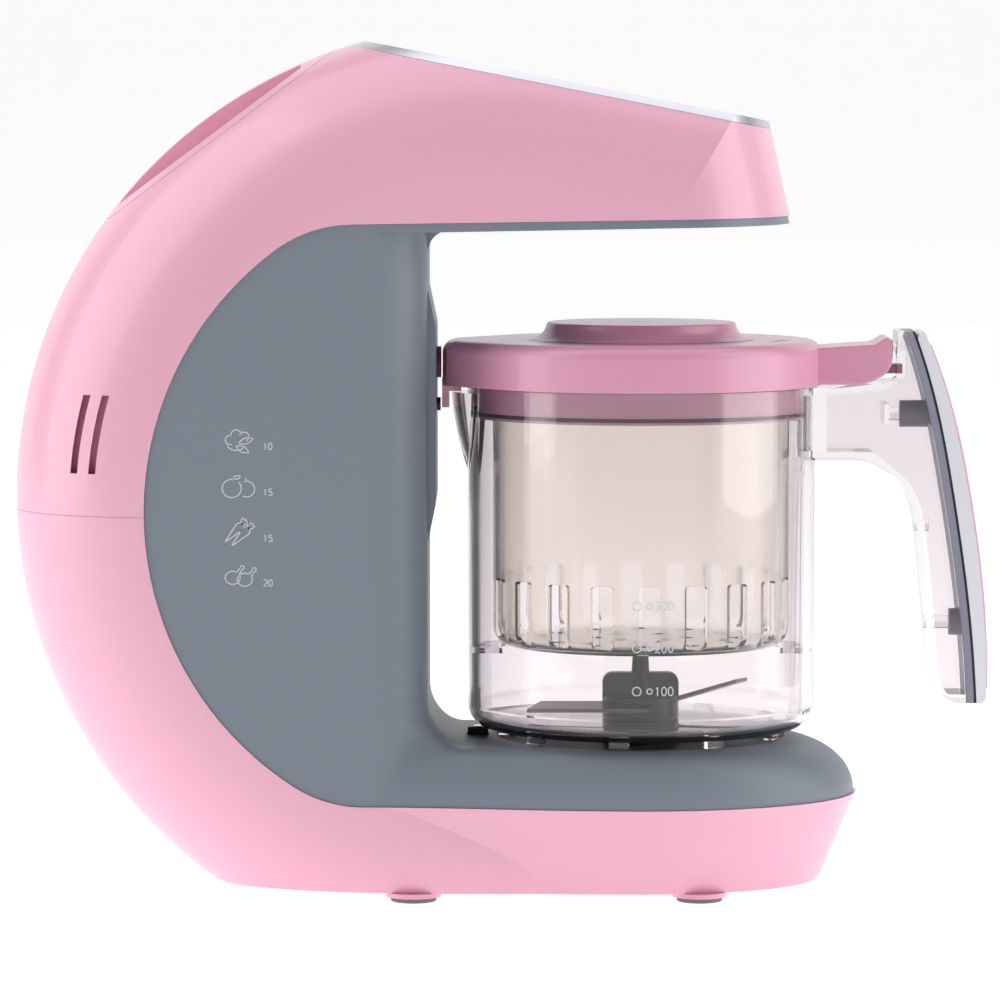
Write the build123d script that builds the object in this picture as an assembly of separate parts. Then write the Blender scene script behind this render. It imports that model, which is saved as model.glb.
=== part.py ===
from build123d import *
import math
import os

# Baby food maker: a C-shaped steamer and blender with a clear jug under its arm.
# +X runs from the back of the C to the jug's handle, +Z up, Z = 0 at the foot pads.
# Lengths in mm.

# ---- fits ----
RUN = 0.3          # gap between pieces that move past each other
FIT = 0.1          # gap between pieces that are fixed together
WALL = 2.5         # moulded wall

# ---- the C-shaped body, seen from the side ----
ARC_X, ARC_Z, ARC_R = -4.5, 122.2, 146.8      # outer arc of the C
RIM_DEPTH = 45                                # the rim rounds off over this depth
HALF_W = 45                                   # half width of column and arm
STEP = 0.6                                    # how far grey sits in from pink
SLOPE = 11.2                                  # fall of the control panel, degrees
PANEL_X, PANEL_Z = -42, 264                   # highest point of the panel's plane
FRAME_T = 2.3                                 # thickness of the silver frame
NOSE_X, NOSE_Z = 89.6, 210.8                  # lower tip of the arm's nose
NOSE_LEAN = (-5.9, 0, 26.5)                   # the nose leans back as it rises
NOSE_DEPTH = 34                               # length of the rounded nose in plan
FEET = [(x, y) for x in (-27, 61) for y in (-35, 35)]
BASE_SCREWS = [(x, y * s) for x, y in ((-60, 26), (18, 33), (82, 22)) for s in (-1, 1)]
SEAM_Z = 119                                  # joint between the two pink shells
WELL_X, WELL_Z, WELL_R = -8.9, 120.2, 100     # arc where pink meets grey
PART_Z = 30.1                                 # top edge of the pink base
ARM_Z = 208                                   # pink edge under the arm, at the column
ARM_RISE = 2.8                                # rise of that edge towards the nose
STRIP_T = 2.3                                 # grey strip under the arm
COLUMN_X = -22.6                              # front face of the column
COLUMN_CORNER, DECK_BLEND = 18, 14            # its rounded corners and its foot
PAD_X = -20.1                                 # front of the raised pad on the column
PAD_Z = (118, 180)
BOTTOM_Z = 2.9                                # underside of the body
DECK_Z = 47.6                                 # top of the base
SHOULDER_H = 17.4                             # height over which the deck rounds off
NOSE_SHOULDER, SIDE_SHOULDER = 24, 9          # how far in it rounds, at tip and sides
BASE_W = 54.5                                 # half width of the base at the jug
BASE_NOSE = 67.6                              # from the jug's axis to the base's tip


# ---- tank lid ----
LID_LINE = ((-121.5, 209), (-84, 236.6), (-50.5, 262))     # joint under the tank lid
SCOOP_RISE = 2.4                              # web left under the scoops
RIDGE_T = 14                                  # thickness of the pinch ridge

# ---- control panel: distance from front, side offset and radius of each key ----
KEY_SPOTS = {"power": 66, "start": 46, "steam": 22, "blend": 22, "up": 2, "down": 2}
KEY_Y = {"power": 0, "start": 0, "steam": -10.5, "blend": 10.5, "up": -8, "down": 8}
KEY_SIZE = {"power": 6, "start": 8, "steam": 7, "blend": 7, "up": 5, "down": 5}
DISPLAY = (-30, -8, 10)                       # from x, to x, half width

# ---- jug, lid and basket, all round the jug's axis ----
JUG_X = 43.6
JUG_R, JUG_IN_R = 54.2, 51
JUG_Z, JUG_TOP_Z = 50, 157
FLOOR_Z = 53.2
LIP_R = 56.1
LID_Z, LID_TOP_Z = 157.4, 171.4
DISC_R, DISC_TOP_Z = 31, 176.8
BASKET_R, BASKET_Z, BASKET_TOP_Z = 46.3, 76.2, 148
BASKET_T = 1.8
SLOTS, SLOT_W, SLOT_H, SLOT_MID_Z = 20, 6.8, 19.5, 88.2
RIB_TOP, RIB_R = 146, 46.9                    # top and inner radius of the jug's ribs
LEDGE_R = 44.4                                # inner radius of the ledges under the basket
SHELF_Z = BASKET_Z - 0.4
SPOUT_Z = (127, 155)
LEG_X = (-8.5, -6.3)                          # interlock leg on the jug
BUSH_R = 6
TAB_R, TAB_HALF_W = 61.9, 11                  # reach and half width of the lid's steam tab
HOOK_R = 62.1
THUMB_R = 78.4                                # sweep of the lid's thumb tab
PLUG_R, PLUG_Z = (47.9, 50.6), 147.4          # plug ring that closes the jug
SEAL_Z = (148.2, 149.4)                       # groove for the seal round the plug
SEAT_R = 44.7

# ---- handle ----
HANDLE_W = 23
LAYERS = {"inlay": 0.4, "trim": 2.9, "gasket": 0.8, "backing": 2.4}
INLAY_Z = (63, 170)
STACK = sum(LAYERS.values())
BELLY = 2                                     # extra thickness half way up the silver strip
OUTER_CURVE = ((131.6, 174.2), (139.6, 152.3), (146.4, 121), (150.4, 89.8), (151.3, 58.4))
INNER_CURVE = ((134, 66), (131.8, 89.8), (129.9, 108.6), (127.4, 121), (122, 129.5))
GRIP_PINS = ((119.8, 124, 148.2), (129, 133.5, 113.5), (132, 139.6, 83))     # x from, to, height

# ---- interlocks and steam outlet ----
STEAM_Z = 164.3                               # steam outlet's axis
PIN_Z = 151.2                                 # lid pin's axis
PEG_X = -7.3                                  # jug peg's axis

# ---- drive ----
MOTOR_Z = (8.4, 32)
DOG_Z, SOCKET_Z = (38.5, 45.5), (40.8, 49.4)
HEX_R = 7.5
SHAFT_R = 3
BLADE_Z, BLADE_T = 56.6, 1.2
SHAFT_TOP_Z = 59
HUB_R, HUB_Z = 11.9, 60.2                     # drum of the hub and its top
FIN_Z, ROD_Z = 67.2, 72.4                     # tops of the fin and the rod

os.makedirs("parts", exist_ok=True)


# ---------------------------------------------------------------- helpers

def save(name, shape):
    export_step(shape, f"parts/{name}.step")


def side(face, half_width):
    """Extrude a face drawn in the XZ plane equally to both sides."""
    return extrude(face, amount=half_width, both=True)


def xz_polygon(*points):
    """Face in the XZ plane with straight edges."""
    return make_face(Polyline(*[(x, 0, z) for x, z in points], close=True))


def block(x0, x1, half_y, z0, z1):
    """Box given by its limits, centred on Y = 0."""
    return Pos((x0 + x1) / 2, 0, (z0 + z1) / 2) * Box(x1 - x0, 2 * half_y, z1 - z0)


def tube_at(x, y, z0, z1, radius):
    """Upright cylinder between two heights."""
    return Pos(x, y, (z0 + z1) / 2) * Cylinder(radius, z1 - z0)


def pin_along_x(x0, x1, y, z, radius):
    """Cylinder lying along X."""
    return Pos((x0 + x1) / 2, y, z) * Rot(0, 90, 0) * Cylinder(radius, x1 - x0)


def turned(*points):
    """Solid of revolution round the jug's axis from (radius, height) points."""
    profile = make_face(Polyline(*[(r, 0, z) for r, z in points], close=True))
    return Pos(JUG_X, 0, 0) * revolve(profile, Axis.Z)


def hose(radius, points, start, end):
    """Soft tube through the given points, leaving and arriving in given directions."""
    path = Spline(*points, tangents=(start, end))
    section = Plane(path @ 0, z_dir=path % 0) * Circle(radius)
    return sweep(section, path=path)


# ---------------------------------------------------------------- body solids

def rim_section(inset):
    """Half-ellipse rim with a flat-sided web, drawn as (radius, width)."""
    width = HALF_W - inset
    start = ARC_R - RIM_DEPTH
    rim = EllipticalCenterArc(
        (start, 0), RIM_DEPTH - inset, width, start_angle=-90, arc_size=180)
    web = Polyline((start, width), (0, width), (0, -width), (start, -width))
    return make_face(rim + web)


def wheel(inset):
    """Full disc of the C, its rim rounded as an ellipse."""
    return Pos(ARC_X, 0, ARC_Z) * revolve(rim_section(inset), Axis.Y)


def arm_run(inset):
    """The same section carried on along the panel's slope to form the arm."""
    angle = math.radians(SLOPE)
    plane = Plane(
        origin=(ARC_X, 0, ARC_Z),
        x_dir=(math.sin(angle), 0, math.cos(angle)),
        z_dir=(math.cos(angle), 0, -math.sin(angle)))
    return extrude(plane * rim_section(inset), amount=150)


def nose_plan(inset):
    """Outline of the arm from above, round-nosed."""
    width = HALF_W - inset + 0.01
    centre = NOSE_X - NOSE_DEPTH
    nose = EllipticalCenterArc(
        (centre, 0), NOSE_DEPTH - inset, width, start_angle=-90, arc_size=180)
    back = Polyline((centre, width), (-60, width), (-60, -width), (centre, -width))
    return make_face(nose + back)


def arm_block(inset):
    """Leaning prism that gives the arm its nose."""
    start = Pos(0, 0, NOSE_Z) * nose_plan(inset)
    lean = Vector(*NOSE_LEAN)
    rise = extrude(start, amount=2.5 * lean.length, dir=lean)
    drop = extrude(start, amount=0.3 * lean.length, dir=-lean)
    return rise + drop


def base_plan(tail_w, jug_w, nose, inset=0):
    """Outline of the base from above: straight tail, full round nose."""
    width = jug_w - inset
    tail = (-42, tail_w - inset)
    swell = Bezier(tail, (-15, tail[1]), (JUG_X - 30, width), (JUG_X, width))
    nose_arc = EllipticalCenterArc((JUG_X, 0), nose - inset, width, start_angle=-90, arc_size=180)
    close = Line((tail[0], -tail[1]), tail)
    return make_face(swell + nose_arc + mirror(swell, Plane.XZ) + close)


def base_hull(inset):
    """Pink part of the base, drawing in towards the floor."""
    low = Pos(0, 0, BOTTOM_Z) * base_plan(38, 42.5, BASE_NOSE - 11.6, inset)
    high = Pos(0, 0, PART_Z) * base_plan(44.8, BASE_W, BASE_NOSE, inset)
    return loft([low, high], ruled=True)


def panel_slab(drop_top, drop_bottom):
    """Slab between two planes parallel to the control panel."""
    length = 400
    slab = Pos(0, 0, -(drop_top + drop_bottom) / 2) * Box(length, 200, drop_bottom - drop_top)
    return Pos(PANEL_X, 0, PANEL_Z) * Rot(0, SLOPE, 0) * slab


def upper_body(inset):
    """Wheel back and arm together, up to the plane of the panel."""
    divide = Pos(ARC_X, 0, ARC_Z) * Rot(0, SLOPE, 0) * Pos(-200, 0, 0) * Box(400, 200, 400)
    return (wheel(inset) & divide) + (arm_run(inset) & arm_block(inset))


def well_face(gap):
    """Side view of everything that is not pink: column, jug bay and deck."""
    nose_z = ARM_Z + ARM_RISE
    radius = WELL_R - gap
    top_dz = ARM_Z - gap - WELL_Z
    low_dz = PART_Z + gap - WELL_Z
    top_x = WELL_X - math.sqrt(radius ** 2 - top_dz ** 2)
    low_x = WELL_X - math.sqrt(radius ** 2 - low_dz ** 2)
    arc = ThreePointArc(
        (top_x, 0, ARM_Z - gap), (WELL_X - radius, 0, WELL_Z), (low_x, 0, PART_Z + gap))
    rest = Polyline(
        (low_x, 0, PART_Z + gap), (140, 0, PART_Z + gap),
        (140, 0, nose_z - gap), (top_x, 0, ARM_Z - gap))
    face = make_face(arc + rest)
    corners = [v for v in face.vertices() if v.X < 0]
    return fillet(corners, 40)


def under_strip(grow):
    """Side view of everything under the grey strip of the arm."""
    under = ARM_Z - STRIP_T + grow
    return xz_polygon((-200, 0), (140, 0), (140, under + ARM_RISE), (COLUMN_X, under), (-200, under))


def column_plan(inset):
    """Column from above, its two front corners rounded."""
    width = HALF_W - STEP - inset
    front = COLUMN_X - inset
    face = make_face(Polyline(
        (-130, -width), (front, -width), (front, width), (-130, width), close=True))
    return fillet([v for v in face.vertices() if v.X > -100], COLUMN_CORNER - inset)


# ---------------------------------------------------------------- tank lid shape


def above_line(rise):
    """Everything outside a shallow arc laid across the back of the C."""
    start, middle, end = ((x, 0, z + rise) for x, z in LID_LINE)
    arc = ThreePointArc(start, middle, end)
    far = Polyline(end, (end[0], 0, 300), (-200, 0, 300), (-200, 0, start[2]), start)
    return make_face(arc + far)


def tank_lid():
    """Cap over the water filler: a ridge to pinch, scooped on both sides."""
    cap = wheel(0) & side(above_line(FIT), 60)
    cap -= panel_slab(-80, FRAME_T + FIT + 0.3)
    hollow = wheel(WALL) & side(above_line(-1), RIDGE_T / 2 - WALL)
    scoop = side(above_line(SCOOP_RISE), 60) - side(above_line(SCOOP_RISE), RIDGE_T / 2)
    ends = block(-118, -62, 60, 150, 300)
    cap -= hollow & block(-112, -66, 60, 150, 300)
    return cap - (scoop & ends)


# ---------------------------------------------------------------- body pieces

def vent_slots():
    """Two narrow slots that follow the back of the C."""
    slots = []
    for radius in (120.9, 126.6):
        ring = Cylinder(radius + 1.1, 200) - Cylinder(radius - 1.1, 200)
        ring = Pos(ARC_X, 0, ARC_Z) * Rot(90, 0, 0) * ring
        slots.append(ring & block(-160, -60, 60, 132, 156))
    return slots


def vent_baffle():
    """Inner wall just behind the slots, so that nothing shows through them."""
    layer = wheel(WALL + 1.5) - wheel(WALL + 2.7)
    ties = wheel(WALL - 0.2) - wheel(WALL + 2.7)
    strip = layer & block(-148, -108, 60, 127, 161)
    ends = ties & (block(-148, -108, 60, 127, 129) + block(-148, -108, 60, 159, 161))
    return (strip + ends) - side(well_face(-1), 80)


def gland_pocket():
    """Flat-bottomed recess in the back where the cord would enter."""
    return pin_along_x(-130, -106, 0, 26, 8)


def upper_shell():
    """Upper pink moulding: back of the C above the seam, and the arm."""
    outer = upper_body(0) - panel_slab(-80, FRAME_T + FIT)
    inner = upper_body(WALL) - panel_slab(-80, FRAME_T + FIT + WALL)
    shell = outer - inner - side(well_face(0), 80)
    shell -= block(-200, 200, 80, -50, SEAM_Z + FIT / 2)
    shell -= side(above_line(0), 80) & block(-160, -50, 80, 150, 262)
    for slot in vent_slots():
        shell -= slot & (wheel(-1) - wheel(WALL + 0.5))
    return shell + vent_baffle()


def lower_shell():
    """Lower pink moulding: back of the C below the seam, and the base."""
    back = block(-160, JUG_X, 80, BOTTOM_Z, SEAM_Z - FIT / 2)
    outer = (wheel(0) & back) + base_hull(0)
    inner = (wheel(WALL) & back) + base_hull(WALL)
    shell = outer - inner - side(well_face(0), 80)
    shell -= block(5, 120, 80, PART_Z, 120)
    for x, y in BASE_SCREWS:
        web = Pos(x, y + (5 if y > 0 else -5), 11.2) * Box(2, 12, 11.4)
        shell += tube_at(x, y, BOTTOM_Z + WALL + FIT, 17, 4) + (web & outer)
        shell -= tube_at(x, y, BOTTOM_Z, 14, 1.5)
    return shell - gland_pocket() - pin_along_x(-130, -80, 0, 26, 6.1)


def bottom_plate():
    """Flat plate closing the base, with four foot bosses and the rear foot's boss."""
    layer = block(-160, JUG_X, 80, BOTTOM_Z, BOTTOM_Z + WALL)
    front = block(-60, 140, 80, BOTTOM_Z, BOTTOM_Z + WALL)
    gap = WALL + FIT
    plate = (wheel(gap) & layer) + (base_hull(gap) & front)
    for x, y in FEET:
        plate += tube_at(x, y, 1.5, BOTTOM_Z, 8.35)
    for x, y in BASE_SCREWS:
        plate -= tube_at(x, y, BOTTOM_Z - 1, BOTTOM_Z + 1.2, 3.3)
        plate -= tube_at(x, y, BOTTOM_Z, BOTTOM_Z + WALL + 1, 1.7)
    return plate


def feet():
    """Four rubber pads under the bosses."""
    pads = [tube_at(x, y, 0, 1.5, 7) for x, y in FEET]
    return Compound(children=[fillet(pad.edges().sort_by(Axis.Z)[:1], 0.5) for pad in pads])


def rear_foot():
    """Low pad under the tail of the C."""
    return block(-86, -78, 6, 1.4, BOTTOM_Z)


def deck(inset):
    """Grey top of the base, its edge rounded as an ellipse."""
    stretch_x = NOSE_SHOULDER / SHOULDER_H
    stretch_y = SIDE_SHOULDER / SHOULDER_H
    plan = base_plan(44, BASE_W - STEP, BASE_NOSE - 0.9, inset)
    top = DECK_Z - inset
    solid = extrude(Pos(0, 0, PART_Z + FIT) * plan, amount=top - PART_Z - FIT)
    solid = scale(solid, by=(1 / stretch_x, 1 / stretch_y, 1))
    rim = solid.edges().filter_by(lambda e: abs(e.center().Z - top) < 0.01)
    rim = [e for e in rim if e.center().X > -40 / stretch_x]
    solid = fillet(rim, SHOULDER_H - 0.8 - inset)
    return scale(solid, by=(stretch_x, stretch_y, 1))


def deck_edges(body):
    """Edges where the column meets the deck."""
    near = [e for e in body.edges() if -42 < e.center().X < -10]
    low = [e for e in near if PART_Z + 3 < e.center().Z < DECK_Z + 1]
    return [e for e in low if abs((e % 0.5).Z) < 0.99]


def arm_flare():
    """Concave web easing the column's front into the strip under the arm."""
    radius = 7
    corner_x = COLUMN_X + radius
    corner_z = ARM_Z - STRIP_T + 0.3
    web = block(COLUMN_X - 1, corner_x, HALF_W - COLUMN_CORNER, corner_z - radius, corner_z)
    return web - Pos(corner_x, 0, corner_z - radius) * Rot(90, 0, 0) * Cylinder(radius, 100)


def housing_solid(inset):
    """Column, arm strip and deck of the grey moulding."""
    web = side(well_face(FIT if inset == 0 else -3), HALF_W - STEP - inset)
    column = web & extrude(column_plan(inset), amount=230)
    strip = (web - side(under_strip(inset), 80)) & arm_block(STEP + inset)
    body = column + strip + deck(inset)
    if inset == 0:
        body = fillet(deck_edges(body), DECK_BLEND) + arm_flare()
    return body


def column_pad():
    """Raised pad on the column's front, easing in at both ends."""
    low, high = PAD_Z
    face = xz_polygon(
        (COLUMN_X - 1, low - 8), (COLUMN_X, low - 8), (PAD_X, low + 4),
        (PAD_X, high - 4), (COLUMN_X, high + 8), (COLUMN_X - 1, high + 8))
    pad = side(face, HALF_W - COLUMN_CORNER - 1)
    soft = [e for e in pad.edges().filter_by(Axis.Y) if e.center().X > PAD_X - 0.1]
    return fillet(soft, 12)


def inner_housing():
    """Grey inside of the C: column with its pad, arm underside and deck."""
    shell = housing_solid(0) - housing_solid(WALL)
    shell += column_pad()
    shell -= tube_at(JUG_X, 0, PART_Z, DECK_Z + 1, SEAT_R + RUN)
    shell -= pin_along_x(-40, -10, 0, STEAM_Z, 5)
    shell -= pin_along_x(-40, -10, 0, PIN_Z, 2.4)
    shell -= block(PEG_X - 3.5, PEG_X + 3.5, 3.5, PART_Z, DECK_Z + 1)
    return shell


# ---------------------------------------------------------------- control panel

def on_panel(x, y, drop):
    """Location on the panel's slope, a given depth below its plane."""
    height = PANEL_Z - (x - PANEL_X) * math.tan(math.radians(SLOPE))
    return Pos(x, y, height) * Rot(0, SLOPE, 0) * Pos(0, 0, -drop)


def key_blank(name, radius, top, bottom):
    """Round blank for one key between two depths below the panel."""
    place = on_panel(KEY_SPOTS[name], KEY_Y[name], (top + bottom) / 2)
    return place * Cylinder(radius, bottom - top)


def window_blank(margin, top, bottom):
    """Blank for the display window between two depths below the panel."""
    x0, x1, half_y = DISPLAY
    place = on_panel((x0 + x1) / 2, 0, (top + bottom) / 2)
    return place * Box(x1 - x0 + 2 * margin, 2 * (half_y + margin), bottom - top)


def panel_frame():
    """Silver surround, flush with the arm all round."""
    plate = upper_body(0) & panel_slab(0, FRAME_T) & block(-48, 120, 80, 200, 300)
    return plate - (upper_body(3.2) & panel_slab(-5, FRAME_T - 0.8))


def panel_glass():
    """Dark fascia set in the frame, holed for the keys and the display."""
    plate = upper_body(3.2 + FIT) & panel_slab(0, FRAME_T - 0.8 - FIT)
    for name, radius in KEY_SIZE.items():
        plate -= key_blank(name, radius + RUN, -5, 8)
    plate -= window_blank(FIT, -5, 8)
    return plate


def frame_openings(frame):
    """Holes through the frame's floor for the keys and the display."""
    for name, radius in KEY_SIZE.items():
        frame -= key_blank(name, radius + RUN, -5, 8)
    return frame - window_blank(FIT, -5, 8)


def shell_openings(shell):
    """The same holes through the top of the pink shell."""
    for name, radius in KEY_SIZE.items():
        shell -= key_blank(name, radius + RUN, -5, 12)
    return shell - window_blank(1, -5, 12)


def key(name):
    """Push key with a dished face and a stem down to its switch."""
    radius = KEY_SIZE[name]
    cap = key_blank(name, radius, 0.1, 3.6)
    stem = key_blank(name, 2, 3.6, 7.4)
    dish = on_panel(KEY_SPOTS[name], KEY_Y[name], -25.4) * Sphere(26)
    return cap + stem - dish


def panel_parallel(x0, x1, half_y, top, bottom):
    """Board or plate lying parallel to the panel."""
    place = on_panel((x0 + x1) / 2, 0, (top + bottom) / 2)
    length = (x1 - x0) / math.cos(math.radians(SLOPE))
    return place * Box(length, 2 * half_y, bottom - top)


def control_board():
    """Circuit board with a tact switch under each key."""
    board = panel_parallel(-34, 76, 17, 11, 12.6)
    for name in KEY_SIZE:
        board += key_blank(name, 3.2, 8.8, 11.1)
    return board


# ---------------------------------------------------------------- jug

def jug_wall():
    """Round beaker with a flat floor and rounded foot."""
    outer = turned(
        (0, JUG_Z), (JUG_R, JUG_Z), (JUG_R, JUG_TOP_Z - 26),
        (JUG_R + 0.1, JUG_TOP_Z), (0, JUG_TOP_Z))
    foot = outer.edges().filter_by(GeomType.CIRCLE).sort_by(Axis.Z)[:1]
    outer = fillet(foot, 8)
    inner = turned((0, FLOOR_Z), (JUG_IN_R, FLOOR_Z), (JUG_IN_R, JUG_TOP_Z + 1), (0, JUG_TOP_Z + 1))
    corner = inner.edges().filter_by(GeomType.CIRCLE).sort_by(Axis.Z)[:1]
    return outer - fillet(corner, 4)


def spout(inset):
    """Flaring spout on the column side, as a bowed cone."""
    low, high = SPOUT_Z
    foot_r, middle_r, lip_r = 9.2 - inset, 13.2 - inset, 15.5 - inset
    flank = ThreePointArc((foot_r, 0, low), (middle_r, 0, low + 13), (lip_r, 0, high))
    line = Polyline((lip_r, 0, high), (0, 0, high), (0, 0, low), (foot_r, 0, low))
    return revolve(make_face(flank + line), Axis.Z)


def jug_ribs():
    """Inner rib on each side, with a ledge across it for the basket."""
    height = RIB_TOP - FLOOR_Z
    middle_r = (RIB_R + JUG_R - 1) / 2
    rib = Pos(middle_r, 0, FLOOR_Z + height / 2) * Box(JUG_R - 1 - RIB_R, 2, height)
    ledge = ring(LEDGE_R, JUG_R - 1, SHELF_Z - 1.6, SHELF_Z)
    ledge &= block(JUG_X - JUG_R, JUG_X + JUG_R, 12, SHELF_Z - 2, SHELF_Z + 1)
    ledge -= block(JUG_X - 30, JUG_X + 30, 20, SHELF_Z - 2, SHELF_Z + 1)
    return [Pos(JUG_X, 0, 0) * Rot(0, 0, turn) * rib for turn in (0, 180)] + [ledge]


def jug_lugs():
    """Short legs under the floor that stand in the seat, and the interlock leg."""
    lug = Pos(42.9, 0, 49.2) * Box(3, 6, 3.2)
    legs = [Pos(JUG_X, 0, 0) * Rot(0, 0, a) * lug for a in range(20, 380, 40)]
    x0, x1 = LEG_X
    legs.append(block(x0, x1, 3, 50.4, 62))
    return legs


def jug_vessel():
    """Clear beaker with its spout, ribs and legs."""
    vessel = jug_wall() + spout(0)
    bore = tube_at(JUG_X, 0, FLOOR_Z + 7, JUG_TOP_Z + 1, JUG_IN_R)
    vessel = vessel - bore - spout(WALL)
    for piece in jug_ribs() + jug_lugs():
        vessel += piece
    return vessel


def outer_curve(shift):
    """Outer line of the handle, set back towards the jug, more so in its middle."""
    belly = BELLY * min(1, shift / LAYERS["trim"])
    reach = OUTER_CURVE[0][1] - OUTER_CURVE[-1][1]
    points = []
    for x, z in OUTER_CURVE:
        along = (z - OUTER_CURVE[-1][1]) / reach
        points.append((x - shift - belly * 4 * along * (1 - along), 0, z))
    return Spline(*points)


def grip_face(margin):
    """Side view of the clear grip, drawn in by a margin on the inner side."""
    back = outer_curve(STACK + FIT)
    front = Spline(*[(x + margin, 0, z) for x, z in INNER_CURVE])
    top = Polyline(
        front @ 1, (113 + margin, 0, 134.2 + margin), (94, 0, 134.2 + margin),
        (94, 0, 157 - margin), (102.4, 0, 156.4 - margin), (118.6, 0, 158.2 - margin),
        (122.6, 0, 160.2 - margin), (122.6 + 0.2 * margin, 0, 167),
        (123 + 0.4 * margin, 0, 174.2 - margin), back @ 0)
    foot = (143 - 1.5 * margin, 0, 58.5 + margin)
    end = ThreePointArc(foot, (136.6 + 0.35 * margin, 0, 61.2 + 0.8 * margin), front @ 0)
    face = make_face(back + front + top + end + Line(back @ 1, foot))
    if margin == 0:
        face = fillet([v for v in face.vertices() if abs(v.Z - 134.2) < 0.1 and v.X > 100], 12)
    return face


def grip():
    """Clear handle moulding: a channel open to the outside."""
    solid = side(grip_face(0), HANDLE_W / 2)
    hollow = side(grip_face(WALL), HANDLE_W / 2 - WALL) & block(101, 160, 20, 61, 180)
    back = side(layer_face(STACK + FIT + 4, STACK - 2), HANDLE_W / 2 - WALL)
    channel = hollow + (back & block(101, 160, 20, 61, 170))
    clear = solid - channel
    for x0, x1, z in GRIP_PINS:
        clear += pin_along_x(x0, x1, 0, z, 2.1)
    clear += block(119, 120.6, HANDLE_W / 2 - 1, 145, 151.5)
    slot = Pos(122.5, 5, 163) * Box(9, 20, 8.8)
    return clear - slot


def layer_face(inner, outer):
    """Side view of one layer on the back of the handle."""
    near = outer_curve(outer)
    far = outer_curve(inner)
    return make_face(near + far + Line(near @ 0, far @ 0) + Line(near @ 1, far @ 1))


def handle_layer(name):
    """One of the strips closing the handle's channel, from the outside inwards."""
    names = list(LAYERS)
    outer = sum(LAYERS[n] for n in names[:names.index(name)])
    inner = outer + LAYERS[name]
    inset = {"inlay": 1.2, "trim": 0, "gasket": 0.8, "backing": 0.4}[name]
    strip = side(layer_face(inner, outer), HANDLE_W / 2 - inset)
    if name == "inlay":
        strip &= block(120, 160, 20, *INLAY_Z)
    if name == "trim":
        ends = strip.edges().filter_by(Axis.Y).sort_by(Axis.X)
        strip = fillet([ends[1], ends[-1]], 2)
    return strip


def handle_backing():
    """Grey plate with two screw bosses that clamps the strips to the grip."""
    plate = handle_layer("backing")
    plate += pin_along_x(124.3, 133, 0, 148.2, 4.2)
    plate += pin_along_x(140, 144, 0, 83, 4.2)
    for x0, z in ((124, 148.2), (139.8, 83)):
        plate -= pin_along_x(x0, x0 + 4.5, 0, z, 1.2)
    return plate


def jug():
    """Clear jug and handle, one moulding, holed for the blade's bush."""
    cavity = tube_at(JUG_X, 0, FLOOR_Z + 6, JUG_TOP_Z + 1, JUG_IN_R)
    body = jug_vessel() + (grip() - cavity)
    return body - tube_at(JUG_X, 0, 40, 60, BUSH_R)


# ---------------------------------------------------------------- lid and basket

def lid_hollow():
    """Space inside the lid."""
    top = LID_TOP_Z
    return turned(
        (0, 140), (PLUG_R[0], 140), (PLUG_R[0], top - 5), (PLUG_R[0] - 4, top - WALL), (0, top - WALL))


def lid_shell():
    """Lid with a wedge running out to the steam tab, and a plug ring inside the jug."""
    half = TAB_HALF_W
    end_x = JUG_X - TAB_R
    lean = math.atan2(half, TAB_R) + math.acos(LIP_R / math.hypot(TAB_R, half))
    touch_x, touch_y = JUG_X - LIP_R * math.cos(lean), LIP_R * math.sin(lean)
    wedge = make_face(Polyline(
        (end_x, -half), (touch_x, -touch_y), (touch_x, touch_y), (end_x, half), (end_x, -half)))
    plan = Pos(JUG_X, 0, 0) * Circle(LIP_R) + fillet(wedge.vertices().sort_by(Axis.X)[:2], 3)
    outer = Pos(0, 0, LID_Z) * extrude(plan, amount=LID_TOP_Z - LID_Z)
    outer &= Pos(JUG_X, 0, 165) * Cylinder(TAB_R, 30)
    outer = fillet(outer.edges().group_by(Axis.Z)[-1], 4)
    plug = ring(*PLUG_R, PLUG_Z, LID_Z + 1)
    groove = ring(PLUG_R[1] - 1.4, JUG_R, *SEAL_Z)
    return outer + plug - groove - pin_along_x(-25, -12, 0, STEAM_Z, 3)


def lid_hook():
    """Hook under the steam tab that pushes the lid pin."""
    hook = block(-25, -12.5, 4, 150.3, LID_Z + 2)
    hook &= Pos(JUG_X, 0, 155) * Cylinder(HOOK_R, 20)
    return hook - block(JUG_X - HOOK_R + 2.3, -10, 5, 150, 155.4)


def thumb_tab():
    """Paddle on the handle side with an upturned tip and the locking tongue."""
    under = Spline((107, 0, 157.8), (115.5, 0, 159), (119.2, 0, 161.4), (121.4, 0, 166))
    tip = Spline((121.4, 0, 166), (121.8, 0, 170.6), (119.9, 0, 172.3), (117.4, 0, 171.2), (114.6, 0, 170.2))
    rest = Polyline((114.6, 0, 170.2), (96, 0, 169), (96, 0, 157.8), (107, 0, 157.8))
    paddle = side(make_face(under + tip + rest), 13)
    paddle = fillet(paddle.edges().filter_by(lambda e: abs(e.center().Y) > 12.9 and e.center().X > 97), 0.5)
    paddle &= Pos(JUG_X, 0, 165) * Cylinder(THUMB_R, 30)
    return paddle + block(116, 124.8, 4.4, 160.9, 163.8)


def lid():
    """Pink lid that turns to lock."""
    shell = lid_shell() + lid_hook() + thumb_tab()
    return shell - lid_hollow() - tube_at(JUG_X, 0, 160, 180, 24)


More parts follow.
